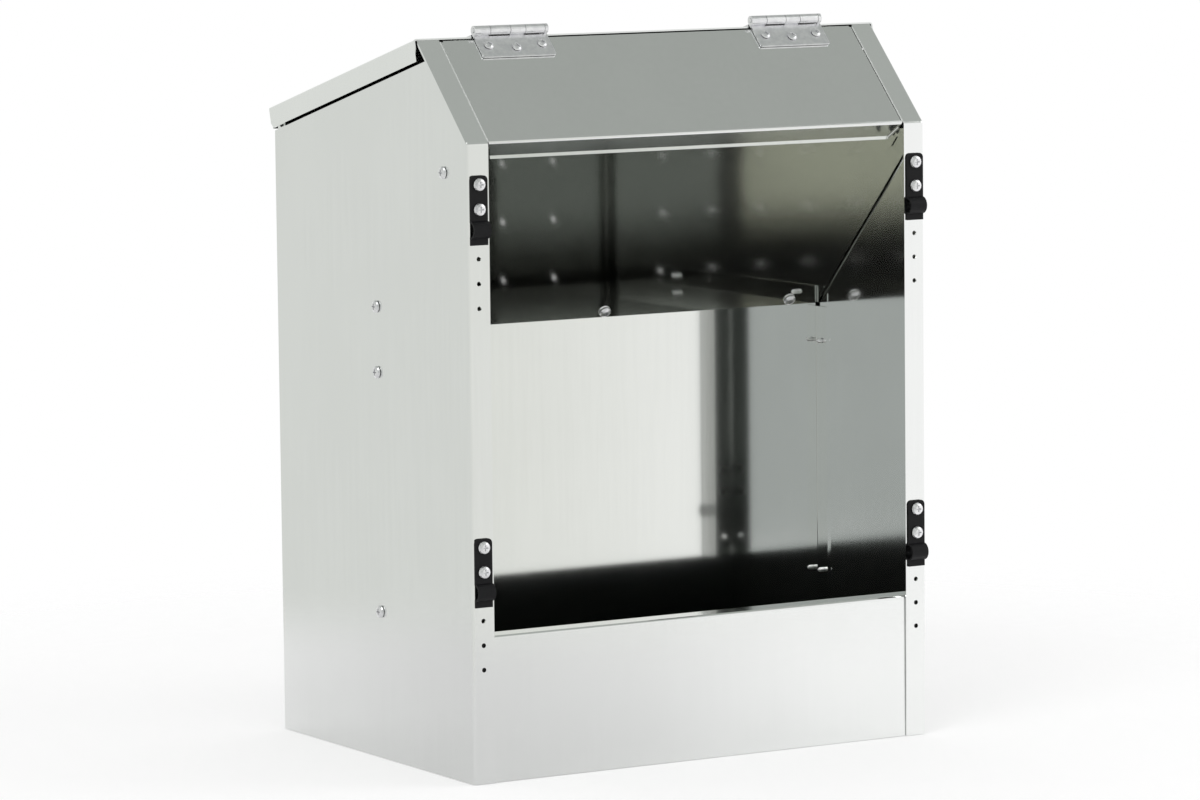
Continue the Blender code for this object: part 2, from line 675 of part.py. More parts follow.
def screw_mesh(name, head_diameter, head_height, shank_diameter, length):
    """A domed pan head with a cross recess over a plain pointed shank.
    The head's underside is at Z = 0 and the shank points down."""
    head = head_diameter / 2
    shank = shank_diameter / 2
    dome = [(out * head, up * head_height) for out, up in HEAD_DOME]
    profile = [*dome, (shank, 0.0), (shank, -length + shank), (0.0, -length)]
    turned = bmesh.new()
    rail = [turned.verts.new((x, 0, z)) for x, z in profile]
    for upper, lower in zip(rail, rail[1:]):
        turned.edges.new((upper, lower))
    mesh = bpy.data.meshes.new(name + "_profile")
    turned.to_mesh(mesh)
    turned.free()
    blank = bpy.data.objects.new(name + "_blank", mesh)
    bpy.context.scene.collection.objects.link(blank)
    spin = blank.modifiers.new("turned", "SCREW")
    spin.steps = SCREW_SIDES
    spin.render_steps = SCREW_SIDES
    spin.use_merge_vertices = True
    spin.merge_threshold = 0.00001
    arms = []
    for turn in (0, math.pi / 2):
        made = bmesh.new()
        size = Matrix.Diagonal(
            (RECESS_LENGTH * head, RECESS_WIDTH * head, 2 * RECESS_DEPTH * head_height, 1.0)
        )
        place = Matrix.Translation(UP * head_height) @ Matrix.Rotation(turn, 4, "Z") @ size
        bmesh.ops.create_cube(made, size=1.0, matrix=place)
        arm_mesh = bpy.data.meshes.new(name + "_arm")
        made.to_mesh(arm_mesh)
        made.free()
        arm = bpy.data.objects.new(name + "_arm", arm_mesh)
        bpy.context.scene.collection.objects.link(arm)
        add_cut(blank, arm)
        arms.append(arm)
    depsgraph = bpy.context.evaluated_depsgraph_get()
    finished = bpy.data.meshes.new_from_object(blank.evaluated_get(depsgraph))
    finished.name = name
    for used in (blank, *arms):
        bpy.data.objects.remove(used, do_unlink=True)
    smooth(finished)
    return finished


def place_screw(name, mesh, spot, lift, parts, material):
    """Seats a screw on a surface. Its head stands a lift above the spot, along the way out."""
    point, outward = spot
    screw = new_object(name, mesh, parts)
    screw.matrix_world = Matrix.Translation(point + outward * lift) @ turn_to(outward)
    if not mesh.materials:
        mesh.materials.append(material)
    return screw


def knuckle_ranges(front):
    """The stretches of the barrel that belong to one leaf, measured from its middle."""
    stretches = []
    for index, (start, end) in enumerate(zip(KNUCKLE_ENDS, KNUCKLE_ENDS[1:])):
        if (index % 2 == 0) == front:
            stretches.append(((start - 0.5) * HINGE_LENGTH, (end - 0.5) * HINGE_LENGTH))
    return stretches


def make_leaf(name, centre_x, front, parts, cutters, material):
    """A hinge leaf: a plate level with the underside of its knuckles, cut away round the
    other leaf's knuckles, bored for the pin and drilled for three screws.
    Local X is the pin, and the plate runs along local -Y on the roof, +Y on the lid."""
    sign = -1 if front else 1
    angle = ROOF_ANGLE if front else -LID_ANGLE
    middle_of_barrel = side(centre_x, HINGE_AXIS.y, HINGE_AXIS.z)
    place = Matrix.Translation(middle_of_barrel) @ Matrix.Rotation(angle, 4, "X")
    along_x = Matrix.Rotation(math.pi / 2, 4, "Y")

    plate = bmesh.new()
    middle = Vector((0, sign * LEAF_WIDTH / 2, LEAF_THICKNESS / 2 - BARREL_RADIUS))
    size = Matrix.Diagonal((HINGE_LENGTH, LEAF_WIDTH, LEAF_THICKNESS, 1.0))
    bmesh.ops.create_cube(plate, size=1.0, matrix=Matrix.Translation(middle) @ size)
    far_corners = [
        edge for edge in plate.edges
        if all(sign * vert.co.y > LEAF_WIDTH / 2 for vert in edge.verts)
        and abs(edge.verts[0].co.x - edge.verts[1].co.x) < SEAT_GAP
    ]
    bmesh.ops.bevel(
        plate, geom=far_corners, offset=LEAF_THICKNESS, segments=3, profile=0.5, affect="EDGES",
    )
    mesh = bpy.data.meshes.new(name)
    plate.to_mesh(mesh)
    plate.free()
    leaf = new_object(name, mesh, parts)
    leaf.data.materials.append(material)
    leaf.matrix_world = place

    room = BARREL_RADIUS + SEAT_GAP
    other = []
    for start, end in knuckle_ranges(not front):
        low = start - KNUCKLE_GAP if start > -HINGE_LENGTH / 2 else start - LEAF_WIDTH
        high = end + KNUCKLE_GAP if end < HINGE_LENGTH / 2 else end + LEAF_WIDTH
        other.append((Vector(((low + high) / 2, 0, 0)), (high - low, 2 * room, 4 * BARREL_RADIUS)))
    add_cut(leaf, box_cutter(name + "_slots", other, cutters, place))

    barrel = bmesh.new()
    for start, end in knuckle_ranges(front):
        low = start if start <= -HINGE_LENGTH / 2 else start + KNUCKLE_GAP / 2
        high = end if end >= HINGE_LENGTH / 2 else end - KNUCKLE_GAP / 2
        where = Matrix.Translation(Vector(((low + high) / 2, 0, 0))) @ along_x
        bmesh.ops.create_cone(
            barrel, cap_ends=True, segments=BARREL_SIDES, radius1=BARREL_RADIUS,
            radius2=BARREL_RADIUS, depth=high - low, matrix=where,
        )
    barrel_mesh = bpy.data.meshes.new(name + "_knuckles")
    barrel.to_mesh(barrel_mesh)
    barrel.free()
    knuckles = hide_cutter(new_object(name + "_knuckles", barrel_mesh, cutters))
    knuckles.matrix_world = place
    join = leaf.modifiers.new("knuckles", "BOOLEAN")
    join.operation = "UNION"
    join.solver = "EXACT"
    join.object = knuckles

    bore = drill(
        name + "_bore", [(Vector((0, 0, 0)), SIDEWAYS)],
        2 * (PIN_RADIUS + PIN_CLEARANCE), 2 * HINGE_LENGTH, cutters, BARREL_SIDES,
    )
    bore.matrix_world = place
    add_cut(leaf, bore)
    if front:
        spots = hinge_screw_spots(centre_x, -ROOF_WAY, ROOF_OUT, EAVE)
    else:
        spots = hinge_screw_spots(centre_x, LID_WAY, LID_OUT, LID_FRONT)
    add_cut(leaf, drill(name + "_holes", spots, HINGE_HOLE_DIAMETER, THROUGH_SHEETS, cutters))
    return leaf


def make_pin(name, centre_x, parts, material):
    """The hinge pin, a little longer than the barrel, with eased ends."""
    made = bmesh.new()
    bmesh.ops.create_cone(
        made, cap_ends=True, segments=BARREL_SIDES, radius1=PIN_RADIUS,
        radius2=PIN_RADIUS, depth=HINGE_LENGTH + 2 * PIN_PROUD,
        matrix=Matrix.Rotation(math.pi / 2, 4, "Y"),
    )
    mesh = bpy.data.meshes.new(name)
    made.to_mesh(mesh)
    made.free()
    smooth(mesh)
    pin = new_object(name, mesh, parts)
    pin.data.materials.append(material)
    pin.location = side(centre_x, HINGE_AXIS.y, HINGE_AXIS.z)
    ease = pin.modifiers.new("eased ends", "BEVEL")
    ease.width = PIN_PROUD / 2
    ease.segments = 1
    return pin


def hang_on(piece, empty):
    """Parents a piece to an empty and keeps the piece where it stands."""
    piece.parent = empty
    piece.matrix_parent_inverse = Matrix.Translation(-empty.location)


def build():
    clear_scene()
    parts = new_collection("rabbit_feeder")
    cutters = new_collection("cutters")

    bright = make_material("bright_sheet", (0.80, 0.81, 0.80), 0.22, 1.0)
    roof = make_material("roof_sheet", (0.62, 0.64, 0.62), 0.25, 1.0)
    inner = make_material("inner_sheet", (0.70, 0.71, 0.69), 0.15, 1.0)
    zinc = make_material("zinc_hardware", (0.76, 0.76, 0.79), 0.28, 1.0)
    black = make_material("black_strap", (0.018, 0.018, 0.020), 0.45, 0.0)

    sides = (("left", -1), ("right", 1))
    for word, sign in sides:
        make_side_panel(word + "_side_panel", sign, parts, cutters, bright)
    make_front_slope_panel(parts, cutters, roof)
    make_trough_front(parts, bright)
    make_floor_panel(parts, cutters, bright)
    make_back_panel(parts, bright)
    make_baffle(parts, cutters, inner)
    make_mid_wall(parts, cutters, inner)

    axis = bpy.data.objects.new("lid_axis", None)
    axis.location = side(0, HINGE_AXIS.y, HINGE_AXIS.z)
    parts.objects.link(axis)
    hang_on(make_lid(parts, cutters, bright), axis)

    large = (SCREW_HEAD_DIAMETER, SCREW_HEAD_HEIGHT, SCREW_SHANK_DIAMETER)
    small = (HINGE_HEAD_DIAMETER, HINGE_HEAD_HEIGHT, HINGE_SHANK_DIAMETER)
    clip_screw = screw_mesh("clip_screw", *large, CLIP_SCREW_LENGTH)
    side_screw = screw_mesh("side_screw", *large, SIDE_SCREW_LENGTH)
    baffle_screw = screw_mesh("baffle_screw", *large, BAFFLE_SCREW_LENGTH)
    hinge_screw = screw_mesh("hinge_screw", *small, HINGE_SCREW_LENGTH)

    for word, sign in sides:
        across = sign * (HALF_WIDTH - POST_WIDTH / 2)
        for level, row_top in (("upper", UPPER_ROW_TOP), ("lower", LOWER_ROW_TOP)):
            make_clip(f"clip_{level}_{word}", across, row_top, parts, cutters, black)
            for row, place in enumerate(("top", "bottom")):
                spot = (side(across, FRONT_Y, row_top - row * POST_HOLE_PITCH), -BACKWARD)
                lift = CLIP_THICKNESS + 2 * SEAT_GAP
                place_screw(f"clip_screw_{level}_{word}_{place}", clip_screw, spot, lift, parts, zinc)
        for number, spot in enumerate(side_screw_spots(sign), 1):
            place_screw(f"side_screw_{word}_{number}", side_screw, spot, SEAT_GAP, parts, zinc)

    for word, spot in zip(("left", "middle", "right"), baffle_screw_spots()):
        place_screw(f"baffle_screw_{word}", baffle_screw, spot, SEAT_GAP, parts, zinc)

    leaf_lift = LEAF_THICKNESS + 2 * SEAT_GAP
    for word, sign in sides:
        centre_x = sign * HINGE_OFFSET
        make_leaf(f"hinge_leaf_front_{word}", centre_x, True, parts, cutters, zinc)
        moving = [make_leaf(f"hinge_leaf_lid_{word}", centre_x, False, parts, cutters, zinc)]
        make_pin(f"hinge_pin_{word}", centre_x, parts, zinc)
        roof_spots = hinge_screw_spots(centre_x, -ROOF_WAY, ROOF_OUT, EAVE)
        lid_spots = hinge_screw_spots(centre_x, LID_WAY, LID_OUT, LID_FRONT)
        for number, spot in enumerate(roof_spots, 1):
            place_screw(f"hinge_screw_front_{word}_{number}", hinge_screw, spot, leaf_lift, parts, zinc)
        for number, spot in enumerate(lid_spots, 1):
            name = f"hinge_screw_lid_{word}_{number}"
            moving.append(place_screw(name, hinge_screw, spot, leaf_lift, parts, zinc))
        for piece in moving:
            hang_on(piece, axis)


build()
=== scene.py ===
import math

import bmesh
import bpy
import numpy as np
from mathutils import Matrix, Vector


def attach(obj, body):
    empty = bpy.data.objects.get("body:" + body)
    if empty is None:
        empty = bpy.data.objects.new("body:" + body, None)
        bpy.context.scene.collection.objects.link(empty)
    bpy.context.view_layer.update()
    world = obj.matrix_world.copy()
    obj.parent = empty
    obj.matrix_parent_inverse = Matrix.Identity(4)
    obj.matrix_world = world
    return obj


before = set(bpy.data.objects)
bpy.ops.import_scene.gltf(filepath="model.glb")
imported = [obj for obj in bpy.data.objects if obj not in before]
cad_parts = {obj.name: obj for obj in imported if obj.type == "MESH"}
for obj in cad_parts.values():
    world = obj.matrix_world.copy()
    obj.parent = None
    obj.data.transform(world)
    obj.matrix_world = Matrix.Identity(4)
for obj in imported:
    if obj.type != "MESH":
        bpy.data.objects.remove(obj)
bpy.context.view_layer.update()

print("frame loaded:", len(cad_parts), "nodes")


# The front edge of the roof, and the ways that the roof and the baffle run from it

eave = np.array([0.0, -0.1245, 0.390])
roofWay = np.array([0.0, math.sqrt(0.5), math.sqrt(0.5)])
baffleWay = np.array([0.0, math.sqrt(0.5), -math.sqrt(0.5)])
sideWay = np.array([1.0, 0.0, 0.0])
backWay = np.array([0.0, 1.0, 0.0])

black = (0.0, 0.0, 0.0, 1.0)
white = (1.0, 1.0, 1.0, 1.0)


# Shader maths as plain expressions

class Wire:
    # one output socket; arithmetic on it adds Math nodes to its tree
    def __init__(self, tree, socket):
        self.tree = tree
        self.socket = socket

    def __add__(self, other):
        return self.tree.maths("ADD", self, other)

    def __radd__(self, other):
        return self.tree.maths("ADD", other, self)

    def __sub__(self, other):
        return self.tree.maths("SUBTRACT", self, other)

    def __rsub__(self, other):
        return self.tree.maths("SUBTRACT", other, self)

    def __mul__(self, other):
        return self.tree.maths("MULTIPLY", self, other)

    def __rmul__(self, other):
        return self.tree.maths("MULTIPLY", other, self)


class Tree:
    # a node tree that is filled by calls to node()
    def __init__(self, owner):
        owner.use_nodes = True
        self.nodes = owner.node_tree.nodes
        self.links = owner.node_tree.links
        self.nodes.clear()

    def node(self, kind, settings=None, output=0, **inputs):
        # settings go on the node first, then values or wires on its sockets;
        # a socket is given by its name with _ for spaces, or as in0, in1 ...
        made = self.nodes.new(kind)
        for key, value in (settings or {}).items():
            setattr(made, key, value)
        for key, value in inputs.items():
            bare = key[2:]
            socket = int(bare) if bare.isdigit() else key.replace("_", " ")
            target = made.inputs[socket]
            if isinstance(value, Wire):
                self.links.new(value.socket, target)
            else:
                target.default_value = value
        return Wire(self, made.outputs[output]) if made.outputs else made

    def maths(self, operation, first, second=0.0):
        return self.node("ShaderNodeMath", {"operation": operation}, in0=first, in1=second)

    def over(self, first, second):
        # 1 where first is the larger, else 0
        return self.maths("GREATER_THAN", first, second)

    def size(self, value):
        # a number without its sign
        return self.maths("ABSOLUTE", value)

    def either(self, first, second):
        # the sum of two masks, at most 1
        return self.node("ShaderNodeMath", {"operation": "ADD", "use_clamp": True},
                         in0=first, in1=second)

    def dot(self, vector, direction):
        return self.node("ShaderNodeVectorMath", {"operation": "DOT_PRODUCT"}, output="Value",
                         in0=vector, in1=direction)

    def length(self, vector):
        return self.node("ShaderNodeVectorMath", {"operation": "LENGTH"}, output="Value", in0=vector)

    def axis(self, vector, name):
        return self.node("ShaderNodeSeparateXYZ", output=name, Vector=vector)

    def rise(self, value, low, high):
        # 0 below low, 1 above high, an S curve between
        return self.node("ShaderNodeMapRange", {"interpolation_type": "SMOOTHSTEP"},
                         Value=value, From_Min=low, From_Max=high)

    def blend(self, factor, first, second):
        # colours, first at factor 0 and second at factor 1
        return self.node("ShaderNodeMix", {"data_type": "RGBA"}, output=2,
                         in0=factor, in6=first, in7=second)

    def noise(self, vector, scale, detail):
        return self.node("ShaderNodeTexNoise", Vector=vector, Scale=scale, Detail=detail,
                         Roughness=0.6)

    def objectPlace(self):
        return self.node("ShaderNodeTexCoord", output="Object")

    def normal(self):
        return self.node("ShaderNodeNewGeometry", output="Normal")

    def ray(self, kind):
        # 1 on rays of that kind, else 0
        return self.node("ShaderNodeLightPath", output="Is " + kind + " Ray")


def colour(red, green, blue):
    return (red, green, blue, 1.0)


def closeMaterial(tree, tint, rough, height, strength=1.0, distance=1.0, **fixed):
    # fixed: values that are the same all over the surface
    grain = tree.node("ShaderNodeBump", Strength=strength, Distance=distance, Height=height)
    surface = tree.node("ShaderNodeBsdfPrincipled", Base_Color=tint, Roughness=rough,
                        Normal=grain, **fixed)
    tree.node("ShaderNodeOutputMaterial", Surface=surface)


def dress(node, material):
    # every material slot of a node's object takes the material
    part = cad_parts[node]
    if not part.material_slots:
        part.data.materials.append(material)
    for slot in part.material_slots:
        slot.material = material


# Galvanised sheet: rolled, bright, with a faint cloud and fine streaks

sheetLook = {
    "outer": dict(base=(0.90, 0.91, 0.90), dim=(0.88, 0.89, 0.88), roughness=0.10),
    "roof": dict(base=(0.82, 0.83, 0.82), dim=(0.80, 0.81, 0.80), roughness=0.12),
    "lid": dict(base=(0.97, 0.98, 0.97), dim=(0.95, 0.96, 0.95), roughness=0.10),
    "edge": dict(base=(1.0, 1.0, 1.0), dim=(0.95, 0.96, 0.95), roughness=0.25),
    "inner": dict(base=(0.90, 0.91, 0.89), dim=(0.88, 0.89, 0.87), roughness=0.05),
    "wall": dict(base=(0.90, 0.91, 0.89), dim=(0.88, 0.89, 0.87), roughness=0.085),
}
sheetGrain = {
    "cloudScale": 14.0,
    "streaks": (300.0, 300.0, 12.0),    # scale of the streaks, long across the sheet's height
    "cloudShare": 0.6,      # of the cloud in the colour, the rest is the streaks'
    "markFrom": 0.35,
    "markFull": 0.65,
    "spread": 0.03,         # of the roughness
    "relief": 0.000002,     # height of the streaks
}


def sheetMetal(name, look, extras=None):
    material = bpy.data.materials.new(name)
    tree = Tree(material)
    place = tree.objectPlace()
    stretched = tree.node("ShaderNodeMapping", Vector=place, Scale=sheetGrain["streaks"])
    cloud = tree.noise(place, sheetGrain["cloudScale"], 4.0)
    fine = tree.noise(stretched, 1.0, 3.0)
    share = sheetGrain["cloudShare"]
    mark = tree.rise(cloud * share + fine * (1.0 - share), sheetGrain["markFrom"],
                     sheetGrain["markFull"])
    tint = tree.blend(mark, colour(*look["dim"]), colour(*look["base"]))
    rough = look["roughness"] + (cloud * 0.5 + fine * 0.5 - 0.5) * sheetGrain["spread"]
    height = fine * sheetGrain["relief"]
    if extras:
        tint, rough, height = extras(tree, place, tint, rough, height)
    closeMaterial(tree, tint, rough, height, Metallic=1.0)
    return material


# Painted shade: the backs of the posts and of the lip are painted dark, and show dark in the sheets
# behind them.
# The lip's face where a post covers it, which the posts' holes show, gets painted shade too.

postLook = {
    # painted shade tone on the backs of the posts, also used on the ends of the clip screws
    "paintedShade": (0.07, 0.075, 0.07),
    "rougher": 0.2,
    "facing": 0.8,          # how squarely a face looks back or forward to count
    "frontFace": -0.1240,   # y just behind the posts' front faces
    "lipBack": -0.1216,     # y just behind the lip's back
    "unlit": (0.02, 0.02, 0.02),
    "covered": 0.1525,      # how far from the middle the posts cover the lip
    "lipTop": 0.0905,
}


def paintedShadeBacks(tree, place, tint, rough, height):
    y = tree.axis(place, "Y")
    facing = tree.dot(tree.normal(), tuple(backWay))
    near = tree.over(postLook["lipBack"], y)
    # painted shade on the backs of the posts and of the lip
    shadedBack = tree.over(facing, postLook["facing"]) * near
    tint = tree.blend(shadedBack, tint, colour(*postLook["paintedShade"]))
    # painted shade on the lip's face where the posts cover it
    shadedLip = tree.over(y, postLook["frontFace"]) * near * tree.over(-postLook["facing"], facing)
    shadedLip = shadedLip * tree.over(tree.size(tree.axis(place, "X")), postLook["covered"])
    shadedLip = shadedLip * tree.over(postLook["lipTop"], tree.axis(place, "Z"))
    tint = tree.blend(shadedLip, tint, colour(*postLook["unlit"]))
    return tint, rough + shadedBack * postLook["rougher"], height


# The turned-up ends of the baffle's upper edge are painted darker, as painted shade

earLook = {
    "paintedShade": (0.30, 0.30, 0.27),
    "start": 0.1441,        # how far from the middle the ends begin
    "low": 0.375,
    "flat": 0.5,            # above this share, a face looks as the baffle's own faces do
}


def paintedShadeEars(tree, place, tint, rough, height):
    flat = tree.over(tree.size(tree.dot(tree.normal(), tuple(roofWay))), earLook["flat"])
    # painted shade on the turned-up ends, away from the baffle's own faces
    shadedEar = tree.over(tree.size(tree.axis(place, "X")), earLook["start"])
    shadedEar = shadedEar * tree.over(tree.axis(place, "Z"), earLook["low"]) * (1.0 - flat)
    return tree.blend(shadedEar, tint, colour(*earLook["paintedShade"])), rough, height


# The middle wall leans forward a little to the right of a soft crease, as rolled sheet does,
# and its folds are painted a little darker than its faces, as painted shade that dims their bright
# reflections

wallLook = {
    "crease": 0.0745,
    "width": 0.0095,        # of the crease
    "slope": 0.028,
    "fold": (0.64, 0.65, 0.63),
    "face": 0.98,           # above this share, a normal is a face's own
}


def creasedWall(tree, place, tint, rough, height):
    # with t the way past the crease, height is slope * t^2 / (2 width) as far as width,
    # and from there on it rises straight, by slope
    width, slope = wallLook["width"], wallLook["slope"]
    past = tree.axis(place, "X") - wallLook["crease"]
    near = tree.node("ShaderNodeClamp", Value=past, Min=0.0, Max=width)
    far = tree.maths("MAXIMUM", past - width, 0.0)
    lean = near * near * (slope / (2 * width)) + far * slope
    normal = tree.normal()
    offSide, offBack = (tree.over(wallLook["face"], tree.size(tree.dot(normal, tuple(way))))
                        for way in (sideWay, backWay))
    # painted shade on the folds, where the normal is none of the wall's own faces
    return tree.blend(offSide * offBack, tint, colour(*wallLook["fold"])), rough, height + lean


# The floor: lighter and olive over the left and middle, darker towards its right end,
# with a dark stripe where the darker part begins, and painted shade over its rear

floorLook = {
    "leftTone": (0.46, 0.46, 0.38),
    "dust": (0.27, 0.28, 0.26),
    "dustFrom": 0.050,
    "dustFull": 0.075,
    "dustWander": 0.02,     # how far the border of the darker right part wanders
    # painted shade over the floor's rear
    "rearShadeTone": (0.05, 0.05, 0.045),
    "rearShadeFrom": -0.056,
    "rearShadeFull": -0.010,
    "darkStripe": (0.07, 0.07, 0.065),
    "darkStripeFrom": 0.052,
    "darkStripeTo": 0.078,
    "darkStripeEdge": 0.006,
    "wander": 0.01,         # the same, for the painted shade at the rear and the dark stripe
    "driftScale": 30.0,
    "gritScale": 900.0,
    "roughness": 0.22,
    "spread": 0.08,
    "gritStrength": 0.05,
    "gritHeight": 0.0002,
}


def floorSheet(name, look):
    material = bpy.data.materials.new(name)
    tree = Tree(material)
    place = tree.objectPlace()
    x = tree.axis(place, "X")
    drift = tree.noise(place, look["driftScale"], 4.0) - 0.5
    grit = tree.noise(place, look["gritScale"], 2.0)
    dusty = tree.rise(x + drift * look["dustWander"], look["dustFrom"], look["dustFull"])
    # painted shade darkening the floor towards its rear
    rearShade = tree.rise(tree.axis(place, "Y") + drift * look["wander"], look["rearShadeFrom"],
                     look["rearShadeFull"])
    along = x + drift * look["wander"]
    edge = look["darkStripeEdge"]
    darkStripe = tree.rise(along, look["darkStripeFrom"], look["darkStripeFrom"] + edge)
    darkStripe = darkStripe * (1.0 - tree.rise(along, look["darkStripeTo"] - edge, look["darkStripeTo"]))
    tint = tree.blend(dusty, colour(*look["leftTone"]), colour(*look["dust"]))
    tint = tree.blend(darkStripe, tint, colour(*look["darkStripe"]))
    tint = tree.blend(rearShade, tint, colour(*look["rearShadeTone"]))
    rough = look["roughness"] + (grit - 0.5) * look["spread"]
    closeMaterial(tree, tint, rough, grit, look["gritStrength"], look["gritHeight"], Metallic=1.0)
    return material


# Bright zinc on the screws and hinges, and the black coated strap of the clips:
# both have fine patches in their colour, roughness and height

zincLook = {
    "base": (0.90, 0.90, 0.91),
    "dim": (0.80, 0.80, 0.82),
    "roughness": 0.32,
    "spread": 0.10,
    "patchScale": 240.0,
    "patchStrength": 0.05,
    "fixed": {"Metallic": 1.0},
}
strapLook = {
    "base": (0.007, 0.007, 0.008),
    "dim": (0.004, 0.004, 0.005),
    "roughness": 0.50,
    "spread": 0.2,
    "patchScale": 700.0,
    "patchStrength": 0.25,
    "fixed": {"Specular_IOR_Level": 0.22},
}
patchRange = dict(low=0.35, high=0.65)
patchHeight = 0.0001
# painted shade on the clip screws' ends behind the posts
clipShadeFrom = -0.1222          # y behind which the clip screws stand behind the posts


def patchedCoat(name, look, shadedTips=None):
    material = bpy.data.materials.new(name)
    tree = Tree(material)
    place = tree.objectPlace()
    patch = tree.noise(place, look["patchScale"], 3.0)
    tint = tree.blend(tree.rise(patch, **patchRange), colour(*look["dim"]), colour(*look["base"]))
    if shadedTips is not None:
        # painted shade: the ends of the clip screws are as dark as the painted-shade backs of the
        # posts round them
        tint = tree.blend(tree.over(tree.axis(place, "Y"), shadedTips), tint, colour(*postLook["paintedShade"]))
    rough = look["roughness"] + (patch - 0.5) * look["spread"]
    closeMaterial(tree, tint, rough, patch, look["patchStrength"], patchHeight, **look["fixed"])
    return material


outer = sheetMetal("galvanised outer sheet", sheetLook["outer"], paintedShadeBacks)
roof = sheetMetal("galvanised roof sheet", sheetLook["roof"])
lidMetal = sheetMetal("galvanised lid sheet", sheetLook["lid"])
edgeMetal = sheetMetal("bright cut edge", sheetLook["edge"])
inner = sheetMetal("galvanised inner sheet", sheetLook["inner"])
baffleMetal = sheetMetal("galvanised baffle", sheetLook["inner"], paintedShadeEars)
wall = sheetMetal("galvanised middle wall", sheetLook["wall"], creasedWall)
floorMetal = floorSheet("dusty galvanised floor", floorLook)
zinc = patchedCoat("bright zinc hardware", zincLook)
clipZinc = patchedCoat("bright zinc clip screws", zincLook, clipShadeFrom)
strap = patchedCoat("black coated strap", strapLook)

nodeFinish = {
    "baffle": baffleMetal,
    "mid_wall": wall,
    "floor_panel": floorMetal,
    "front_slope_panel": roof,
    "lid": lidMetal,
}
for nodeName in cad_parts:
    if nodeName.startswith("clip_"):
        dress(nodeName, clipZinc if "screw" in nodeName else strap)
    elif "screw" in nodeName or nodeName.startswith("hinge_"):
        dress(nodeName, zinc)
    else:
        dress(nodeName, nodeFinish.get(nodeName, outer))
print("materials assigned")


# Seams: where two sheets meet, a slim bar closes the hair gap that the solids keep.
# A bar is a profile carried along a path: with the path's point p and the profile's (a, b),
# a point of its surface is p + a * wide + b * deep.

def seamBar(name, path, profile, wide, deep, material):
    path, profile = np.asarray(path), np.asarray(profile)
    ring = profile[:, :1] * wide + profile[:, 1:] * deep
    points = (path[:, None, :] + ring[None, :, :]).reshape(-1, 3)
    stations, around = len(path), len(profile)
    i = np.arange(stations - 1)[:, None] * around
    j = np.arange(around)[None, :]
    k = (j + 1) % around
    walls = np.stack([i + j, i + k, i + around + k, i + around + j], axis=-1).reshape(-1, 4)
    caps = [list(range(around)), list(range(len(points) - around, len(points)))]
    mesh = bpy.data.meshes.new(name)
    mesh.from_pydata(points.tolist(), [], walls.tolist() + caps)
    shaped = bmesh.new()
    shaped.from_mesh(mesh)
    bmesh.ops.recalc_face_normals(shaped, faces=shaped.faces)
    shaped.to_mesh(mesh)
    shaped.free()
    mesh.materials.append(material)
    bar = bpy.data.objects.new(name, mesh)
    bpy.context.scene.collection.objects.link(bar)
    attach(bar, "housing")
    return bar


# the upper edge of the baffle against the strip of the roof panel, with its turned-up ends
baffleSeam = {
    "edge": 0.0138,         # from the eave down to the baffle's edge
    "end": 0.1439,          # from the middle to where the edge turns up
    "earEdge": 0.0042,
    "earEnd": 0.14778,
    "gap": 0.0003,
    "overlap": 0.00003,     # of the bar and the sheet on each side of the gap
    "top": 0.00002,
    "deep": 0.0006,
}


def makeBaffleSeam(values):
    spots = [(-values["earEnd"], values["earEdge"]), (-values["end"], values["edge"]),
             (values["end"], values["edge"]), (values["earEnd"], values["earEdge"])]
    path = [eave + sideWay * across + baffleWay * down for across, down in spots]
    low, high = -values["gap"] - values["overlap"], values["overlap"]
    profile = [(low, values["top"]), (high, values["top"]), (high, values["deep"]),
               (low, values["deep"])]
    bar = seamBar("baffle_seam", path, profile, roofWay, baffleWay, inner)


# the cut edges between the roof panel and the two roof flanges, rounded and bright
roofSeam = {
    "across": 0.1497,       # from the middle to the seam
    "radius": 0.00055,
    "sunk": 0.00020,
    "start": 0.0006,
    "end": 0.0822,
    "steps": 10,            # round the half circle
    "sharp": 50.0,          # degrees from which an edge stays sharp
}


def makeRoofSeam(sideName, sign, values):
    # half a circle above the sheet, closed by a flat foot
    turn = np.linspace(0.0, math.pi, values["steps"] + 1)
    radius = values["radius"]
    profile = np.stack([radius * np.cos(turn), radius * np.sin(turn) - values["sunk"]], axis=-1)
    path = [eave + sideWay * sign * values["across"] + roofWay * along
            for along in (values["start"], values["end"])]
    bar = seamBar("roof_seam_" + sideName, path, profile, sideWay, -baffleWay, edgeMetal)
    bar.data.shade_smooth()
    bar.data.set_sharp_from_angle(angle=math.radians(values["sharp"]))


# the front edges of the middle wall's flanges, against the side panels
wallSeam = {
    "start": 0.16365,       # across, from the middle
    "end": 0.16405,
    "front": -0.01388,
    "back": -0.0134,
    "low": 0.0434,
    "high": 0.2732,
}


def makeWallSeam(sideName, sign, values):
    path = [(0.0, 0.0, values["low"]), (0.0, 0.0, values["high"])]
    start, end = sign * values["start"], sign * values["end"]
    profile = [(start, values["front"]), (end, values["front"]), (end, values["back"]),
               (start, values["back"])]
    bar = seamBar("wall_seam_" + sideName, path, profile, sideWay, backWay, inner)


makeBaffleSeam(baffleSeam)
for sideName, sign in (("left", -1), ("right", 1)):
    makeRoofSeam(sideName, sign, roofSeam)
    makeWallSeam(sideName, sign, wallSeam)
print("seams made")


# Camera, solved from the photograph's edges

cameraSet = {
    "location": (-1.8119, -3.0600, 0.6065),
    "turn": -30.629,        # degrees about the vertical
    "height": 6.309,        # degrees above level
    "roll": -0.618,
    "lens": 168.58,
    "sensor": 36.0,
}


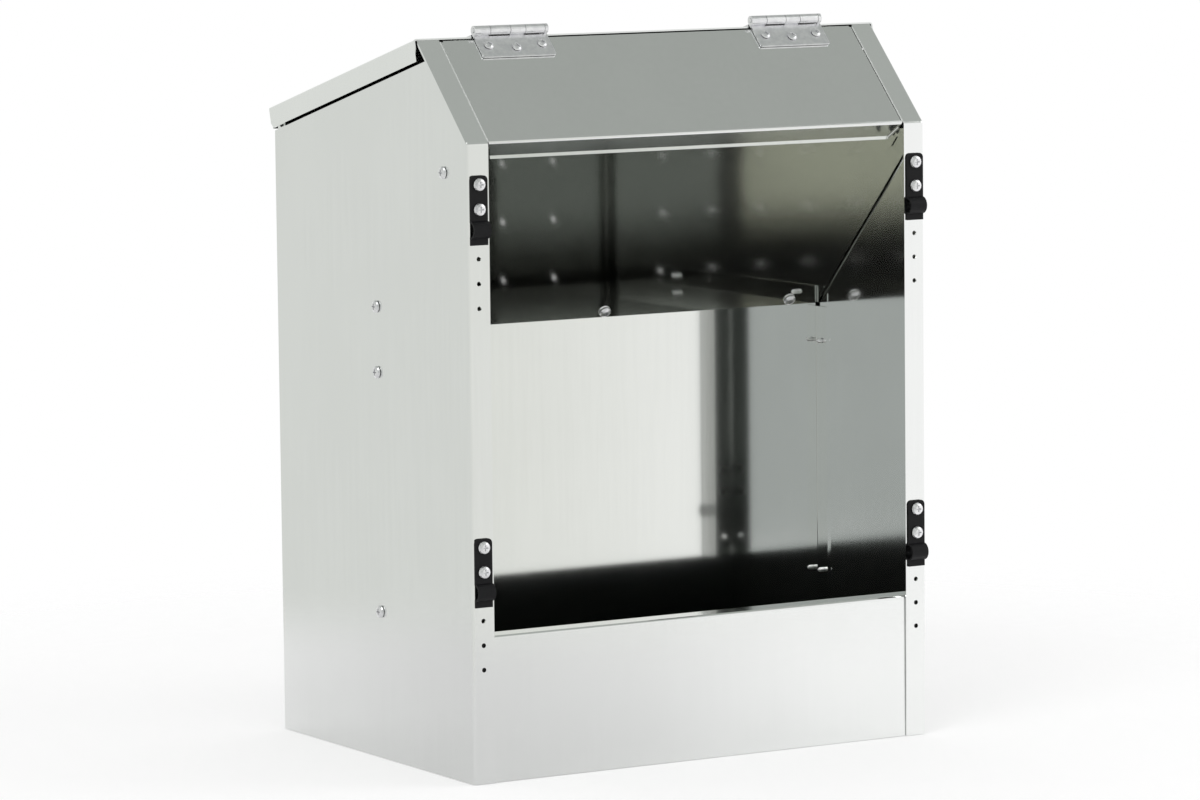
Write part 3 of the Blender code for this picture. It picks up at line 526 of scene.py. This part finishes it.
def placeCamera(values):
    turn = math.radians(values["turn"])
    rise = math.radians(values["height"])
    roll = math.radians(values["roll"])
    right = Vector((math.cos(turn), math.sin(turn), 0.0))
    back = Vector((math.sin(turn) * math.cos(rise), -math.cos(turn) * math.cos(rise),
                   math.sin(rise)))
    up = back.cross(right)
    across = math.cos(roll) * right + math.sin(roll) * up
    upward = math.cos(roll) * up - math.sin(roll) * right
    body = bpy.data.cameras.new("camera")
    body.lens = values["lens"]
    body.sensor_width = values["sensor"]
    holder = bpy.data.objects.new("camera", body)
    facing = Matrix((across, upward, back)).transposed().to_4x4()
    holder.matrix_world = Matrix.Translation(values["location"]) @ facing
    bpy.context.scene.collection.objects.link(holder)
    bpy.context.scene.camera = holder


placeCamera(cameraSet)
print("camera placed")


# Studio: white sweep, grey ceiling, grey room behind the camera

studio = {
    "bright": (1.0, 1.0, 1.0),      # the sweep to the right of the camera's side
    "pale": (0.76, 0.77, 0.74),     # the sweep to the left of it
    "acrossView": (0.857, 0.515, 0.0),
    "brightFrom": -0.03,            # how far round the sweep brightens, as a sine
    "brightFull": 0.045,
    "left": (0.70, 0.715, 0.69),    # the sweep's far left
    "towardLeft": (-0.90, 0.43, 0.0),
    "leftFrom": 0.3,
    "leftFull": 0.75,
    "room": (0.40, 0.42, 0.415),
    "towardCamera": (-0.52, -0.85, 0.0),
    "roomFrom": 0.90,
    "roomFull": 0.97,
    "ceiling": (0.405, 0.425, 0.405),
    "ceilingFrom": 0.20,
    "ceilingFull": 0.60,
    "fill": 0.72,           # strength of the world as plain light on matt surfaces
}


def makeWorld(values):
    world = bpy.data.worlds.new("studio")
    bpy.context.scene.world = world
    tree = Tree(world)
    way = tree.node("ShaderNodeTexCoord", output="Generated")
    height = tree.dot(way, (0.0, 0.0, 1.0))
    across = tree.dot(way, values["acrossView"])
    toLeft = tree.dot(way, values["towardLeft"])
    toCamera = tree.dot(way, values["towardCamera"])
    sweep = tree.blend(tree.rise(across, values["brightFrom"], values["brightFull"]),
                       colour(*values["pale"]), colour(*values["bright"]))
    sweep = tree.blend(tree.rise(toLeft, values["leftFrom"], values["leftFull"]), sweep,
                       colour(*values["left"]))
    room = tree.blend(tree.rise(toCamera, values["roomFrom"], values["roomFull"]), sweep,
                      colour(*values["room"]))
    sky = tree.blend(tree.rise(height, values["ceilingFrom"], values["ceilingFull"]), room,
                     colour(*values["ceiling"]))
    seen = tree.node("ShaderNodeBackground", Color=sky, Strength=1.0)
    blank = tree.node("ShaderNodeBackground", Color=white, Strength=1.0)
    plain = tree.node("ShaderNodeBackground", Color=white, Strength=values["fill"])
    mirrored = tree.either(tree.ray("Glossy"), tree.ray("Transmission"))
    both = tree.node("ShaderNodeMixShader", in0=mirrored, in1=plain, in2=seen)
    both = tree.node("ShaderNodeMixShader", in0=tree.ray("Camera"), in1=both, in2=blank)
    tree.node("ShaderNodeOutputWorld", Surface=both)


floorSet = {
    "radius": 0.85,
    "rings": 24,
    "spokes": 96,
    "height": -0.0004,      # a hair under the feeder
    "solid": 0.45,          # radius from which it fades out
    "gone": 0.833,          # and where it has gone
    "tones": (0.80, 0.84),
    "speckleScale": 60.0,
    "lift": 0.30,           # own light, so that it renders as white as the background
    "dim": 0.27,            # how much darker it shows in metal on its left
    "dimWay": (0.857, 0.515, 0.0),
    "dimFrom": -0.20,
    "dimFull": 0.08,
}


def paleFloor(values):
    material = bpy.data.materials.new("pale floor")
    tree = Tree(material)
    place = tree.objectPlace()
    low, high = (colour(tone, tone, tone) for tone in values["tones"])
    tint = tree.blend(tree.noise(place, values["speckleScale"], 3.0), low, high)
    glossy = tree.ray("Glossy")
    direct = tree.either(tree.ray("Camera") + glossy, tree.ray("Transmission"))
    side = tree.rise(tree.dot(place, values["dimWay"]), values["dimFrom"], values["dimFull"])
    shown = 1.0 - glossy * (1.0 - side) * values["dim"]
    matt = tree.node("ShaderNodeBsdfDiffuse", Color=tree.blend(shown, black, tint))
    lift = tree.node("ShaderNodeEmission", Color=tree.blend(direct * shown, black, white),
                     Strength=values["lift"])
    lit = tree.node("ShaderNodeAddShader", in0=matt, in1=lift)
    clear = tree.node("ShaderNodeBsdfTransparent")
    fade = tree.rise(tree.length(place), values["solid"], values["gone"])
    both = tree.node("ShaderNodeMixShader", in0=fade, in1=lit, in2=clear)
    tree.node("ShaderNodeOutputMaterial", Surface=both)
    return material


def makeFloor(values):
    # disc: ring i of n has radius R i/n, and points stand on it at equal angles
    rings, spokes = values["rings"], values["spokes"]
    radius = np.linspace(0.0, values["radius"], rings + 1)[1:, None]
    angle = np.linspace(0.0, 2.0 * math.pi, spokes, endpoint=False)[None, :]
    x, y = radius * np.cos(angle), radius * np.sin(angle)
    points = np.stack([x, y, np.full_like(x, values["height"])], axis=-1).reshape(-1, 3)
    points = np.vstack([points, [[0.0, 0.0, values["height"]]]])
    i = np.arange(rings - 1)[:, None] * spokes
    j = np.arange(spokes)[None, :]
    k = (j + 1) % spokes
    quads = np.stack([i + j, i + spokes + j, i + spokes + k, i + k], axis=-1).reshape(-1, 4)
    fan = np.stack([np.full(spokes, rings * spokes), j[0], k[0]], axis=-1)
    mesh = bpy.data.meshes.new("floor")
    mesh.from_pydata(points.tolist(), [], quads.tolist() + fan.tolist())
    mesh.materials.append(paleFloor(values))
    floor = bpy.data.objects.new("floor", mesh)
    bpy.context.scene.collection.objects.link(floor)


lampSet = {
    "key": dict(place=(-1.6, -1.2, 2.6), size=1.6, power=14.0),
    "side": dict(place=(2.4, -1.4, 1.9), size=1.6, power=10.0),
}
lampAim = (0.0, 0.0, 0.22)


def makeLamp(name, values):
    body = bpy.data.lights.new(name, "AREA")
    body.shape = "DISK"
    body.size = values["size"]
    body.energy = values["power"]
    lamp = bpy.data.objects.new(name, body)
    lamp.location = values["place"]
    aim = Vector(lampAim) - Vector(values["place"])
    lamp.rotation_euler = aim.to_track_quat("-Z", "Y").to_euler()
    bpy.context.scene.collection.objects.link(lamp)


makeWorld(studio)
makeFloor(floorSet)
for lampName, lampValues in lampSet.items():
    makeLamp(lampName, lampValues)
bpy.context.scene.view_settings.view_transform = "Standard"
print("studio made")
